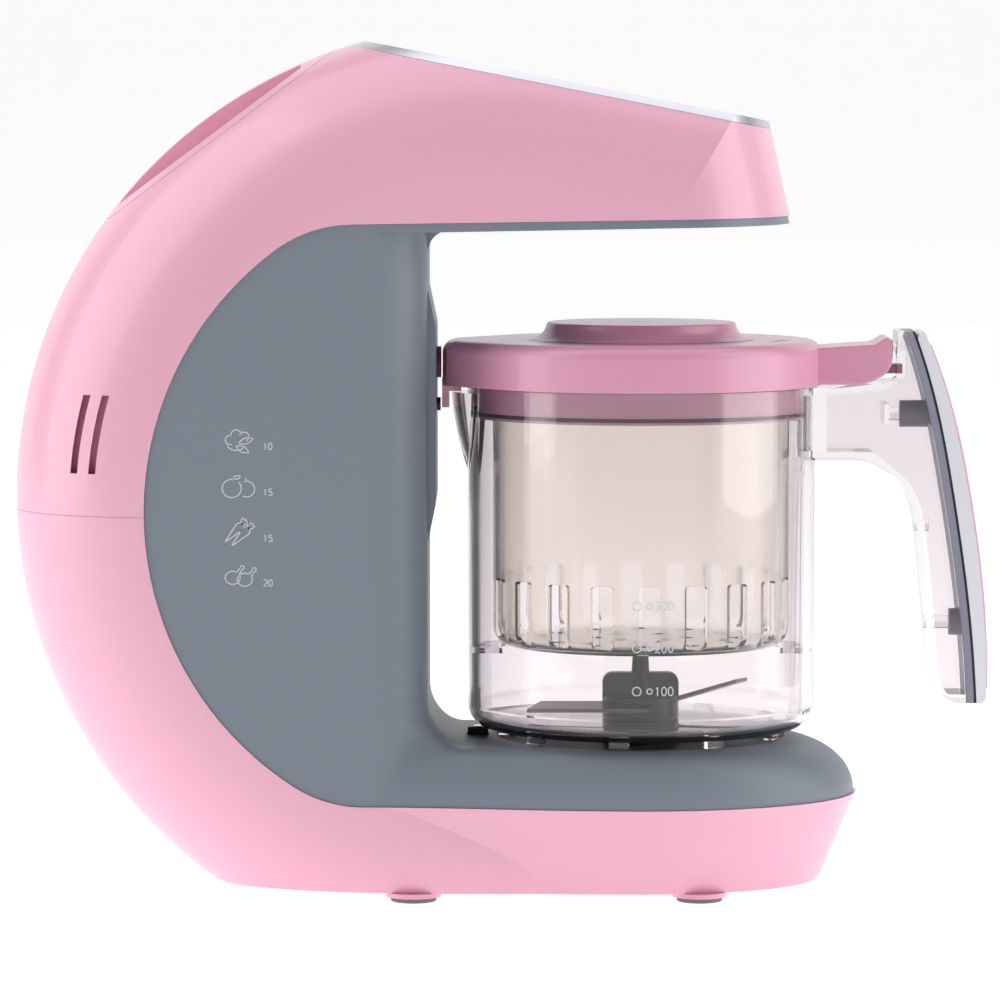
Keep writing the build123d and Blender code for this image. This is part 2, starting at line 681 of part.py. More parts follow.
def lid_cap():
    """Raised disc that closes the lid's middle, with a steam slot."""
    low, high = LID_TOP_Z + FIT, DISC_TOP_Z
    flare = ThreePointArc((DISC_R + 4, 0, low), (DISC_R + 0.2, 0, low + 1.6), (DISC_R - 1.6, 0, high))
    rest = Polyline((DISC_R - 1.6, 0, high), (0, 0, high), (0, 0, low), (DISC_R + 4, 0, low))
    disc = Pos(JUG_X, 0, 0) * revolve(make_face(flare + rest), Axis.Z)
    disc = fillet(disc.edges().filter_by(GeomType.CIRCLE).sort_by(Axis.Z)[-1:], 0.8)
    disc += tube_at(JUG_X, 0, LID_TOP_Z - 5, LID_TOP_Z + 1, 23.7)
    disc -= tube_at(JUG_X, 0, LID_TOP_Z - 6, DISC_TOP_Z - WALL, 21)
    return disc - Pos(JUG_X, 0, DISC_TOP_Z) * Box(6, 1.6, 8)


def ring(r0, r1, z0, z1):
    """Plain ring round the jug's axis."""
    return turned((r0, z0), (r1, z0), (r1, z1), (r0, z1))


def steam_basket():
    """Clear basket with tall slots round its foot and round holes in its floor."""
    outer = ring(0, BASKET_R, BASKET_Z, BASKET_TOP_Z)
    inner = ring(0, BASKET_R - BASKET_T, BASKET_Z + BASKET_T, BASKET_TOP_Z + 1)
    outer = fillet(outer.edges().filter_by(GeomType.CIRCLE).sort_by(Axis.Z)[:1], 6)
    inner = fillet(inner.edges().filter_by(GeomType.CIRCLE).sort_by(Axis.Z)[:1], 4.2)
    basket = outer - inner
    window = Plane.YZ * RectangleRounded(SLOT_W, SLOT_H, 1.2)
    slot = Pos(BASKET_R - 5, 0, SLOT_MID_Z) * extrude(window, amount=10)
    for i in range(SLOTS):
        basket -= Pos(JUG_X, 0, 0) * Rot(0, 0, 360 / SLOTS * i + 2) * slot
    for radius, count in ((14, 6), (30, 12)):
        for i in range(count):
            place = Pos(JUG_X, 0, BASKET_Z) * Rot(0, 0, 360 / count * i) * Pos(radius, 0, 0)
            basket -= place * Cylinder(2.5, 8)
    return basket


# ---------------------------------------------------------------- drive

def hexagon(radius, z0, z1):
    """Hexagonal bar on the jug's axis."""
    return Pos(JUG_X, 0, z0) * extrude(RegularPolygon(radius, 6), amount=z1 - z0)


def drive_dog():
    """Hexagon on top of the motor shaft."""
    dog = tube_at(JUG_X, 0, 36, DOG_Z[0], 11) + hexagon(HEX_R, *DOG_Z)
    return dog - tube_at(JUG_X, 0, 35, 43, SHAFT_R)


def blade_coupling():
    """Socket under the jug that drops over the drive dog."""
    socket = tube_at(JUG_X, 0, *SOCKET_Z, 11.5)
    socket -= hexagon(HEX_R + 0.4, SOCKET_Z[0] - 1, DOG_Z[1] + 0.6)
    return socket - tube_at(JUG_X, 0, 40, 50, SHAFT_R)


def blade_bush():
    """Bearing bush through the jug's floor."""
    bush = tube_at(JUG_X, 0, 49.8, FLOOR_Z, BUSH_R - FIT / 2)
    return bush - tube_at(JUG_X, 0, 40, 70, SHAFT_R + 0.05)


def blade_shaft():
    """Steel spindle from the coupling up into the hub."""
    return tube_at(JUG_X, 0, 46.3, SHAFT_TOP_Z, SHAFT_R)


def blade_wing():
    """Straight pitched wing set beside the axis, both ends cut at a slant."""
    near, far = -13.6, -4.6
    plan = make_face(Polyline((5.7, far), (2, near), (-35.4, near), (-31.2, far), (5.7, far)))
    pitch = Pos(0, (near + far) / 2, 0) * Rot(-10, 0, 0) * Pos(0, -(near + far) / 2, 0)
    return pitch * extrude(plan, amount=BLADE_T)


def blades():
    """Blade with one level wing and one raised wing on a centre plate."""
    root = blade_wing() & Pos(0, -10, 0) * Box(20, 40, 10)
    bent = blade_wing() & Pos(-29.9, -10, 0) * Box(40, 40, 10)
    raised = root + Pos(-10, 0, 0) * Rot(0, 16, 0) * Pos(10, 0, 0) * bent
    plate = blade_wing() + Rot(0, 0, 180) * raised + Pos(0, 0, BLADE_T / 2) * Cylinder(9, BLADE_T)
    return Pos(JUG_X, 0, BLADE_Z) * plate - tube_at(JUG_X, 0, 50, 60, SHAFT_R)


def blade_hub():
    """Plastic hub clamping the blade, with a flat fin and a centre rod."""
    hub = tube_at(JUG_X, 0, FLOOR_Z + RUN, HUB_Z, HUB_R)
    hub = fillet(hub.edges().filter_by(GeomType.CIRCLE).sort_by(Axis.Z)[-1:], 1)
    fin = block(JUG_X - HUB_R, JUG_X + HUB_R, 2.2, HUB_Z - 2, FIN_Z)
    upper = [e for e in fin.edges().filter_by(Axis.Y) if e.center().Z > HUB_Z]
    hub += fillet(upper, 3.2)
    rod = Pos(JUG_X, 0, (HUB_Z + ROD_Z) / 2 - 1) * Cone(3.4, 2.5, ROD_Z - HUB_Z + 2)
    return hub + rod - tube_at(JUG_X, 0, 50, SHAFT_TOP_Z, SHAFT_R) - blades()


def seat():
    """Dark dished seat let into the deck, with a rim for the jug's lugs."""
    return turned(
        (14.5, 43), (36, 43), (36, 34), (38, 34), (38, 43), (SEAT_R, 43),
        (SEAT_R, 47.3), (41.2, 47.3), (41.2, 45.6), (14.5, 45.6))


def motor_stator():
    """Stator stack and end caps round the rotor."""
    stack = ring(14.5, 27, *MOTOR_Z)
    for z0, z1 in ((MOTOR_Z[0] - 2.4, MOTOR_Z[0]), (MOTOR_Z[1], MOTOR_Z[1] + 1.6)):
        stack += ring(SHAFT_R + 0.05, 24, z0, z1)
    return stack


def motor_rotor():
    """Rotor on its shaft."""
    rotor = tube_at(JUG_X, 0, MOTOR_Z[0] + 1, MOTOR_Z[1] - 1, 14)
    return rotor + tube_at(JUG_X, 0, MOTOR_Z[0] - 2, 43, SHAFT_R)


def motor_cradle():
    """Bracket holding the motor down on the bottom plate."""
    return ring(27 + FIT, 30, BOTTOM_Z + WALL, 22)


# ---------------------------------------------------------------- interlocks

def steam_outlet():
    """Soft nozzle in the column that meets the lid's steam tab."""
    body = pin_along_x(-31, -18.7, 0, STEAM_Z, 4.9)
    body += pin_along_x(-26.5, COLUMN_X - WALL - 0.2, 0, STEAM_Z, 7)
    return body - pin_along_x(-32, -18, 0, STEAM_Z, 2)


def lid_pin():
    """Sprung pin in the column, pushed by the lid's hook."""
    return pin_along_x(-33, -18.9, 0, PIN_Z, 2.1) + pin_along_x(-29.5, -28, 0, PIN_Z, 4)


def jug_peg():
    """Sprung peg in the deck, pushed by the jug's leg."""
    guide = tube_at(PEG_X, 0, 34, 39, 3.2) + tube_at(PEG_X, 0, 38.5, 40, 5)
    return guide + block(PEG_X - 3.2, PEG_X + 3.2, 3.2, 39.5, 50.1)


def coil(radius, wire, height, turns):
    """Coil spring standing on the origin."""
    path = Helix(pitch=height / turns, height=height, radius=radius)
    section = Plane(path @ 0, z_dir=path % 0) * Circle(wire)
    return sweep(section, path=path)


def lid_pin_spring():
    """Spring behind the lid pin."""
    return Pos(-38.5, 0, PIN_Z) * Rot(0, 90, 0) * coil(3, 0.4, 8, 4)


def jug_peg_spring():
    """Spring under the jug peg."""
    return Pos(PEG_X, 0, 29.6) * coil(4.2, 0.4, 8, 4)


def lid_switch():
    """Micro switch worked by the lid pin, with its bracket."""
    return block(-54, -39.6, 5, PIN_Z - 10, PIN_Z + 3.6)


def jug_switch():
    """Micro switch worked by the jug peg."""
    return block(-14, -0.6, 6, 14, 28.8)


# ---------------------------------------------------------------- water and steam

def tank_face(inset):
    """Side view of the tank, following the back of the C."""
    return xz_polygon(
        (-112 + inset, 128 + inset), (-62 - inset, 128 + inset), (-62 - inset, 236 - inset),
        (-100 + inset, 208 - inset))


def water_tank():
    """Clear tank behind the column, filled from the top."""
    tank = side(tank_face(0), 30) & wheel(WALL + 3)
    tank -= side(tank_face(2), 28) & wheel(WALL + 5)
    tank -= tube_at(-78, 0, 200, 260, 10)
    tank += tube_at(-80, 0, 122, 129, 5)
    return tank - tube_at(-80, 0, 121, 135, 2.5)


def boiler():
    """Heater block with its steam dome and feet."""
    body = tube_at(-70, 0, 52, 88, 21)
    body = fillet(body.edges().filter_by(GeomType.CIRCLE), 3)
    body += tube_at(-70, 0, 88, 93, 8)
    return body + block(-82, -58, 24, 60, 66)


def thermostat():
    """Round cut-out on the boiler's flank."""
    return pin_along_x(-48.8, -42, 0, 72, 8) + block(-42, -40, 7, 70, 74)


def water_hose():
    """Silicone hose from the tank down to the boiler."""
    points = ((-80, 0, 121.9), (-84, 0, 108), (-74, 0, 93.1))
    return hose(3, points, (0, 0, -1), (0, 0, -1))


def steam_hose():
    """Silicone hose from the boiler up to the steam outlet."""
    points = ((-66, 0, 93.1), (-60, 13, 125), (-54, 13, 150), (-31.1, 0, STEAM_Z))
    return hose(3, points, (0, 0, 1), (1, 0, 0))


def power_board():
    """Mains board standing beside the boiler."""
    board = Pos(-62, 34, 88) * Box(52, 1.6, 90)
    for x, z, w, h, d in ((-74, 110, 16, 16, 12), (-52, 62, 14, 22, 9), (-50, 120, 10, 10, 8)):
        board += Pos(x, 34 - d / 2 - 0.7, z) * Box(w, d, h)
    return board


def cord_gland():
    """Bush in the back of the base where the cord would enter."""
    gland = pin_along_x(-108, -95, 0, 26, 6) + pin_along_x(-103.4, -101, 0, 26, 8)
    return gland - pin_along_x(-110, -90, 0, 26, 3.3)


# ---------------------------------------------------------------- fasteners

def screw_up(x, y, z):
    """Pan-head screw driven upwards, its head starting at the given height."""
    return tube_at(x, y, z, z + 1, 3) + tube_at(x, y, z + 1, z + 9, 1.4)


def base_screws():
    """Screws through the bottom plate."""
    return Compound(children=[screw_up(x, y, BOTTOM_Z + 0.1) for x, y in BASE_SCREWS])


def handle_screws():
    """Two screws from the handle's bosses into the clear grip."""
    long = pin_along_x(124.1, 128, 0, 148.2, 1.1)
    short = pin_along_x(139.9, 143.8, 0, 83, 1.1)
    return Compound(children=[long, short])


# ---------------------------------------------------------------- build

PIECES = {
    "tank_lid": tank_lid,
    "bottom_plate": bottom_plate,
    "lower_shell": lower_shell,
    "inner_housing": inner_housing,
    "feet": feet,
    "rear_foot": rear_foot,
    "panel_glass": panel_glass,
    "control_board": control_board,
    "jug": jug,
    "handle_backing": handle_backing,
    "lid": lid,
    "lid_cap": lid_cap,
    "steam_basket": steam_basket,
    "drive_dog": drive_dog,
    "blade_coupling": blade_coupling,
    "blade_bush": blade_bush,
    "blade_shaft": blade_shaft,
    "blades": blades,
    "blade_hub": blade_hub,
    "seat": seat,
    "motor_stator": motor_stator,
    "motor_rotor": motor_rotor,
    "motor_cradle": motor_cradle,
    "steam_outlet": steam_outlet,
    "lid_pin": lid_pin,
    "jug_peg": jug_peg,
    "lid_pin_spring": lid_pin_spring,
    "jug_peg_spring": jug_peg_spring,
    "lid_switch": lid_switch,
    "jug_switch": jug_switch,
    "water_tank": water_tank,
    "boiler": boiler,
    "thermostat": thermostat,
    "water_hose": water_hose,
    "steam_hose": steam_hose,
    "power_board": power_board,
    "cord_gland": cord_gland,
    "base_screws": base_screws,
    "handle_screws": handle_screws,
}

for node, make in PIECES.items():
    save(node, make())

save("upper_shell", shell_openings(upper_shell()))
save("panel_frame", frame_openings(panel_frame()))
save("display", window_blank(0, 0, FRAME_T + 4))
save("lid_seal", ring(PLUG_R[1] - 1.35, PLUG_R[1] + 0.3, SEAL_Z[0] + 0.05, SEAL_Z[1] - 0.05))
for node in KEY_SIZE:
    save(f"key_{node}", key(node))
for node in ("inlay", "trim", "gasket"):
    save(f"handle_{node}", handle_layer(node))
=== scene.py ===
import math

import bmesh
import bpy
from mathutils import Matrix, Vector

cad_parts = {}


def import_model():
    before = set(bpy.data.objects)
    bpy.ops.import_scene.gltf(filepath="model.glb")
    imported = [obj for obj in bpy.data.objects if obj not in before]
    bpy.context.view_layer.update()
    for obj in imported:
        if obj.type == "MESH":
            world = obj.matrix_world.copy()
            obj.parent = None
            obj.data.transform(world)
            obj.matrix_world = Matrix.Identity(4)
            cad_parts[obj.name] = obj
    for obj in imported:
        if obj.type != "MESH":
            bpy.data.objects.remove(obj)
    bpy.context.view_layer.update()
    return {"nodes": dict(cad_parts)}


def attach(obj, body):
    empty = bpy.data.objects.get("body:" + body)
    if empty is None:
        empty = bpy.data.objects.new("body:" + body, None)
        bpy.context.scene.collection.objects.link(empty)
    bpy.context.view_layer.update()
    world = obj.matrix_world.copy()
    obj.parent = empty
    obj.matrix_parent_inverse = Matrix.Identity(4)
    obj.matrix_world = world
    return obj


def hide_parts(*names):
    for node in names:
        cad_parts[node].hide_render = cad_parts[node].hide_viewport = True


MM = 0.001
JUG_X = 43.6                                   # axis of the jug
LID_TOP_Z = 171.4                              # flat top of the lid's rim
RIM_Z = 157.0                                  # underside of the lid's rim

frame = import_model()
nodes = frame["nodes"]


# ---------------------------------------------------------------- materials

def srgb(r, g, b):
    """Linear colour from 0-255 display values."""
    def lin(c):
        c /= 255
        return c / 12.92 if c <= 0.04045 else ((c + 0.055) / 1.055) ** 2.4
    return (lin(r), lin(g), lin(b), 1.0)


def plain(name, colour, roughness=0.4, metallic=0.0, coat=0.0, ior=1.5, specular=0.5):
    """Principled material with even settings."""
    m = bpy.data.materials.new(name)
    m.use_nodes = True
    p = m.node_tree.nodes["Principled BSDF"]
    p.inputs["Base Color"].default_value = colour
    p.inputs["Roughness"].default_value = roughness
    p.inputs["Metallic"].default_value = metallic
    p.inputs["Coat Weight"].default_value = coat
    p.inputs["Coat Roughness"].default_value = 0.06
    p.inputs["IOR"].default_value = ior
    p.inputs["Specular IOR Level"].default_value = specular
    return m


def principled(m):
    return m.node_tree.nodes["Principled BSDF"]


def noise_bump(m, scale, detail, strength, distance, stretch=(1, 1, 1)):
    """Fine noise as a bump, stretched along each axis by 1 over stretch."""
    tree = m.node_tree
    coords = tree.nodes.new("ShaderNodeTexCoord")
    mapping = tree.nodes.new("ShaderNodeMapping")
    mapping.inputs["Scale"].default_value = stretch
    noise = tree.nodes.new("ShaderNodeTexNoise")
    noise.inputs["Scale"].default_value = scale
    noise.inputs["Detail"].default_value = detail
    bump = tree.nodes.new("ShaderNodeBump")
    bump.inputs["Strength"].default_value = strength
    bump.inputs["Distance"].default_value = distance
    tree.links.new(coords.outputs["Object"], mapping.inputs["Vector"])
    tree.links.new(mapping.outputs["Vector"], noise.inputs["Vector"])
    tree.links.new(noise.outputs["Fac"], bump.inputs["Height"])
    tree.links.new(bump.outputs["Normal"], principled(m).inputs["Normal"])


def clear(name, colour, roughness=0.03, ior=1.5):
    """Clear moulded plastic."""
    m = plain(name, colour, roughness, ior=ior)
    principled(m).inputs["Transmission Weight"].default_value = 1.0
    return m


def gloss_pink(name, colour):
    m = plain(name, colour, roughness=0.34, coat=0.3)
    p = principled(m)
    p.inputs["Subsurface Weight"].default_value = 0.12
    p.inputs["Subsurface Radius"].default_value = (1.0, 0.45, 0.5)
    p.inputs["Subsurface Scale"].default_value = 0.002
    return m


def lid_pink(name, colour, plug_painted_light):
    """Lid pink, paler on the plug below the rim: painted light standing in for light that reaches
    the plug through the clear jug.
    """
    m = gloss_pink(name, colour)
    tree = m.node_tree
    coords = tree.nodes.new("ShaderNodeTexCoord")
    split = tree.nodes.new("ShaderNodeSeparateXYZ")
    fade = tree.nodes.new("ShaderNodeMapRange")
    fade.inputs["From Min"].default_value = RIM_Z * MM
    fade.inputs["From Max"].default_value = (RIM_Z + 0.5) * MM
    mix = tree.nodes.new("ShaderNodeMix")
    mix.data_type = "RGBA"
    # below the rim the plug takes the paler colour: painted light
    mix.inputs["A"].default_value = plug_painted_light
    mix.inputs["B"].default_value = colour
    tree.links.new(coords.outputs["Object"], split.inputs["Vector"])
    tree.links.new(split.outputs["Z"], fade.inputs["Value"])
    tree.links.new(fade.outputs["Result"], mix.inputs["Factor"])
    tree.links.new(mix.outputs["Result"], principled(m).inputs["Base Color"])
    return m


def satin_grey(name, colour):
    m = plain(name, colour, roughness=0.42, specular=0.45)
    noise_bump(m, scale=2600, detail=3, strength=0.1, distance=0.05 * MM)
    return m


def brushed(name, colour, roughness, stretch):
    """Metal with fine lines along the axis that stretch makes small."""
    m = plain(name, colour, roughness, metallic=1.0)
    noise_bump(m, scale=900, detail=2, strength=0.06, distance=0.05 * MM, stretch=stretch)
    return m


def make_materials():
    """Every finish of the object, by name."""
    mats = {
        "pink": gloss_pink("pink_shell", srgb(246, 184, 206)),
        # second colour: painted light, a paler pink on the plug below the rim
        "pink_lid": lid_pink("pink_lid", srgb(228, 160, 188), srgb(252, 192, 214)),
        "grey": satin_grey("grey_satin", srgb(130, 139, 151)),
        "silver": brushed("silver", srgb(222, 222, 230), 0.36, (0.05, 1, 1)),
        # near-white and barely metal: painted reflection standing in for the silver trim's bright
        # reflection of its surroundings
        "trim": plain("handle_silver", srgb(240, 241, 248), 0.3, metallic=0.15, coat=0.4),
        "seat": plain("seat_dark", srgb(98, 96, 102), 0.5, specular=0.3),
        "steel": brushed("steel", srgb(200, 200, 204), 0.22, (1, 0.1, 1)),
        # brownish darkened steel: the steel's own tone plus a painted reflection of dark food in
        # the jug above the blade
        "blade": brushed("blade_steel", srgb(122, 106, 104), 0.28, (0.1, 1, 1)),
        "dark": plain("dark_plastic", srgb(44, 44, 48), 0.38),
        "hub": plain("hub_plastic", srgb(40, 41, 44), 0.35),
        "black_gloss": plain("fascia", srgb(22, 22, 26), 0.08, coat=1.0),
        "rubber": plain("foot_rubber", srgb(120, 122, 130), 0.7),
        "jug": clear("jug_clear", (0.9, 0.865, 0.885, 1), 0.015, 1.49),
        "basket": clear("basket_clear", (0.97, 0.925, 0.87, 1), 0.12, 1.4),
        "tank": clear("tank_clear", (0.93, 0.95, 0.97, 1), 0.2, 1.45),
        "display": plain("display_glass", srgb(16, 20, 28), 0.04, coat=1.0),
        "key": plain("key_cap", srgb(235, 236, 240), 0.3),
        "backing": plain("handle_backing", srgb(150, 150, 168), 0.4),
        "seal": plain("lid_seal", srgb(84, 76, 80), 0.6),
        "board": plain("board_green", srgb(28, 84, 50), 0.5),
        "brass": plain("brass", srgb(190, 160, 90), 0.35, metallic=1.0),
        "alloy": plain("alloy", srgb(165, 166, 170), 0.5, metallic=1.0),
        "hose": plain("silicone", srgb(215, 212, 205), 0.5),
        "print": plain("print_white", srgb(214, 218, 226), 0.5),
        "print_dark": plain("print_dark", srgb(112, 62, 84), 0.5),
        # dark pink of the lid in shade, laid on the steam outlet as painted shade
        "outlet": plain("outlet_painted_shade", srgb(150, 84, 104), 0.5),
    }
    return mats


MATS = make_materials()

NODE_FINISH = {
    "pink": ("upper_shell", "lower_shell", "tank_lid", "bottom_plate", "handle_inlay"),
    "pink_lid": ("lid", "lid_cap"),
    "grey": ("inner_housing",),
    "silver": ("panel_frame",),
    "trim": ("handle_trim",),
    "seat": ("seat",),
    "blade": ("blades",),
    "steel": ("blade_shaft", "base_screws", "handle_screws", "lid_pin_spring",
              "jug_peg_spring", "motor_rotor"),
    "dark": ("lid_pin", "jug_peg", "lid_switch", "jug_switch", "drive_dog",
             "blade_coupling", "cord_gland", "handle_gasket", "motor_cradle"),
    "outlet": ("steam_outlet",),
    "hub": ("blade_hub",),
    "black_gloss": ("panel_glass",),
    "rubber": ("feet", "rear_foot"),
    "jug": ("jug",),
    "basket": ("steam_basket",),
    "tank": ("water_tank",),
    "display": ("display",),
    "key": ("key_power", "key_start", "key_steam", "key_blend", "key_up", "key_down"),
    "backing": ("handle_backing",),
    "seal": ("lid_seal",),
    "board": ("control_board", "power_board"),
    "brass": ("blade_bush", "thermostat"),
    "alloy": ("boiler", "motor_stator"),
    "hose": ("water_hose", "steam_hose"),
}


def finish_cad_nodes():
    """Give every carried-over CAD node its finish."""
    for finish, names in NODE_FINISH.items():
        for name in names:
            obj = nodes[name]
            obj.data.materials.clear()
            obj.data.materials.append(MATS[finish])


finish_cad_nodes()


# ---------------------------------------------------------------- meshes

def mesh_object(name, bm, material):
    """Linked object made from a finished bmesh, which is freed."""
    mesh = bpy.data.meshes.new(name)
    bm.to_mesh(mesh)
    bm.free()
    mesh.materials.append(material)
    obj = bpy.data.objects.new(name, mesh)
    bpy.context.scene.collection.objects.link(obj)
    return obj


def prism(bm, rows):
    """Closed skin over rows of four corners each."""
    for a, b in zip(rows, rows[1:]):
        for k in range(4):
            bm.faces.new((a[k], a[(k + 1) % 4], b[(k + 1) % 4], b[k]))
    bm.faces.new(rows[0])
    bm.faces.new(rows[-1][::-1])


# ---------------------------------------------------------------- blade

BLADE_Z, BLADE_T = 56.6, 1.2
BLADE_EASE = 0.15                              # rounding of the blade's edges
WING_PITCH, WING_RAISE = math.radians(10), math.radians(16)
WING_NEAR, WING_FAR = -13.6, -4.6              # the wing's two long edges
WING_BEND = -10                                # where the raised wing turns up
WING_ENDS = ((2, 5.7), (WING_BEND, WING_BEND), (-35.4, -31.2))


def wing_point(x, y, height, raised):
    """Point of a wing with its near edge lower, turned up beyond the bend if raised."""
    middle = (WING_NEAR + WING_FAR) / 2
    z = height + (y - middle) * math.tan(WING_PITCH)
    beyond = max(WING_BEND - x, 0) if raised else 0
    bent_x = x + beyond * (1 - math.cos(WING_RAISE))
    return Vector((bent_x, y, z + beyond * math.sin(WING_RAISE)))


def add_wing(bm, raised, turn):
    """One closed wing of the blade, turned round the spindle."""
    rows = []
    for near_x, far_x in WING_ENDS:
        near, far = (near_x, WING_NEAR), (far_x, WING_FAR)
        row = []
        for (x, y), height in ((near, 0), (far, 0), (far, BLADE_T), (near, BLADE_T)):
            point = wing_point(x, y, height, raised)
            placed = Vector((JUG_X + turn * point.x, turn * point.y, BLADE_Z + point.z))
            row.append(bm.verts.new(placed * MM))
        rows.append(row)
    prism(bm, rows)


def blade():
    """Steel blade: a level wing and a raised wing, with eased edges."""
    bm = bmesh.new()
    add_wing(bm, raised=False, turn=1)
    add_wing(bm, raised=True, turn=-1)
    bmesh.ops.bevel(bm, geom=list(bm.edges), offset=BLADE_EASE * MM, segments=2, affect="EDGES")
    bmesh.ops.recalc_face_normals(bm, faces=bm.faces)
    obj = mesh_object("blade", bm, MATS["blade"])
    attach(obj, "blade_set")
    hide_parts("blades")


blade()


# ---------------------------------------------------------------- printed marks

def arc(cx, cy, rx, ry, start, end, steps=14):
    """Points along an ellipse, angles in degrees."""
    turn = [math.radians(start + (end - start) * i / steps) for i in range(steps + 1)]
    return [(cx + rx * math.cos(t), cy + ry * math.sin(t)) for t in turn]


PRINT_T = 0.05                                 # thickness of the print
PRINT_SINK = 0.01                              # how far it goes into the surface
SIDE_Y = -44.4                                 # near face of the grey column
WALL_R = 54.2                                  # outside of the jug

# Digits as strokes in a cell 0.6 wide and 1 high.
DIGITS = {
    "0": [arc(0.3, 0.5, 0.28, 0.5, 0, 360, 24)],
    "1": [[(0.12, 0.8), (0.32, 1.0), (0.32, 0.0)]],
    "2": [arc(0.3, 0.72, 0.27, 0.28, 160, -40, 12) + [(0.02, 0.0), (0.58, 0.0)]],
    "3": [arc(0.28, 0.75, 0.26, 0.25, 150, -90, 12), arc(0.28, 0.26, 0.3, 0.26, 90, -150, 12)],
    "5": [[(0.54, 1.0), (0.1, 1.0), (0.06, 0.56)] + arc(0.28, 0.32, 0.29, 0.32, 125, -150, 14)],
}


def number(text, x, z, height):
    """Strokes of a number, its lower left corner at x, z."""
    strokes = []
    for i, digit in enumerate(text):
        left = x + i * 0.78 * height
        strokes += [[(left + u * height, z + v * height) for u, v in s] for s in DIGITS[digit]]
    return strokes


def leaf(x, z, length, width, angle):
    """Pointed leaf outline growing from x, z."""
    turn = math.radians(angle)
    outline = []
    for side in (1, -1):
        run = [i / 8 for i in range(9)]
        half = [(t * length, side * width * math.sin(math.pi * t)) for t in run]
        outline += half if side == 1 else half[::-1]
    return [
        (x + u * math.cos(turn) - v * math.sin(turn), z + u * math.sin(turn) + v * math.cos(turn))
        for u, v in outline]


def cauliflower(x, z):
    """Icon: a head of lobes with two leaves."""
    strokes = [arc(x + dx, z + dz, 1.5, 1.4, a - 110, a + 110)
               for dx, dz, a in ((-2.4, 0.4, 180), (-0.6, 2.1, 100), (1.8, 1.4, 50))]
    strokes.append(leaf(x + 0.2, z - 0.6, 4.6, 0.9, 18))
    strokes.append(leaf(x - 0.6, z - 1.4, 4.4, 0.9, -28))
    strokes.append(arc(x - 0.6, z - 1.2, 2.6, 1.6, 180, 330))
    return strokes


def apples(x, z):
    """Icon: two apples, one behind the other."""
    front = arc(x - 2.0, z - 0.4, 2.9, 2.8, 75, 405, 24)
    back = arc(x + 2.6, z - 0.6, 2.4, 2.4, -120, 110, 18)
    stem = [(x - 1.6, z + 2.0), (x - 1.2, z + 3.6)]
    stalk = [(x + 2.6, z + 1.6), (x + 2.3, z + 2.9)]
    return [front, back, stem, stalk, leaf(x - 1.4, z + 2.6, 2.2, 0.5, 20)]


def carrots(x, z):
    """Icon: two carrots with their tops."""
    strokes = []
    for dx, dz in ((-0.9, 0.6), (1.1, -0.6)):
        tip = (x + dx - 3.4, z + dz - 3.6)
        top = arc(x + dx + 1.2, z + dz + 1.2, 1.25, 1.25, -45, 135, 8)
        strokes.append([tip] + top + [tip])
        for angle in (20, 50, 80):
            strokes.append(leaf(x + dx + 1.9, z + dz + 1.9, 2.4, 0.35, angle))
    return strokes


def drumsticks(x, z):
    """Icon: two drumsticks."""
    strokes = []
    for dx, dz in ((-1.8, 0.0), (1.9, -0.6)):
        strokes.append(arc(x + dx, z + dz, 2.3, 2.0, 60, 390, 22))
        strokes.append([(x + dx + 1.2, z + dz + 1.7), (x + dx + 2.4, z + dz + 3.1)])
        strokes.append([(x + dx + 1.9, z + dz + 1.0), (x + dx + 3.0, z + dz + 2.6)])
        strokes.append(arc(x + dx + 2.9, z + dz + 3.1, 0.6, 0.6, -80, 200, 10))
    return strokes


def print_strokes(name, strokes, width, place, material, body):
    """Lay closed ribbons of print on a surface; place maps (u, v, height) in mm to a point."""
    bm = bmesh.new()
    for stroke in strokes:
        points = [Vector(p) for p in stroke]
        rows = []
        for i, point in enumerate(points):
            ahead = points[min(i + 1, len(points) - 1)]
            behind = points[max(i - 1, 0)]
            along = (ahead - behind).normalized()
            across = Vector((-along.y, along.x)) * width / 2
            row = []
            for side, height in ((1, 0), (-1, 0), (-1, PRINT_T), (1, PRINT_T)):
                corner = point + across * side
                row.append(bm.verts.new(Vector(place(corner.x, corner.y, height)) * MM))
            rows.append(row)
        prism(bm, rows)
    bmesh.ops.recalc_face_normals(bm, faces=bm.faces)
    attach(mesh_object(name, bm, material), body)


PICTURE_X, MINUTES_X = -80.1, -72.5            # the two columns of print on the grey side


def on_column(x, z, height):
    """Point on the near face of the column."""
    return (x, SIDE_Y - height + PRINT_SINK, z)


def on_jug(u, z, height):
    """Point on the jug's near wall, u measured round it from its middle line."""
    angle = u / WALL_R
    radius = WALL_R + height - PRINT_SINK
    return (JUG_X + radius * math.sin(angle), -radius * math.cos(angle), z)


def column_print():
    """Four food pictures, each with its cooking time."""
    rows = (
        (142.3, cauliflower, "10"), (128.3, apples, "15"),
        (114.3, carrots, "15"), (100.6, drumsticks, "20"))
    strokes = []
    for z, picture, minutes in rows:
        strokes += picture(PICTURE_X, z)
        strokes += number(minutes, MINUTES_X, z - 2.6, 2.0)
    print_strokes("column_pictures", strokes, 0.32, on_column, MATS["print"], "base_unit")


def jug_print():
    """Volume marks on the jug."""
    strokes = []
    for z, volume in ((66.8, "100"), (80.0, "200"), (92.8, "300")):
        strokes.append(arc(-2.5, z, 1.3, 1.3, 0, 360, 20))
        strokes.append(arc(1.4, z, 0.8, 0.8, 0, 360, 16))
        strokes += number(volume, 3.0, z - 1.3, 2.6)
    print_strokes("jug_marks", strokes, 0.35, on_jug, MATS["print"], "jug_body")


def on_lid(x, y, height):
    """Point on the flat top of the lid."""
    return (x, y, LID_TOP_Z + height - PRINT_SINK)


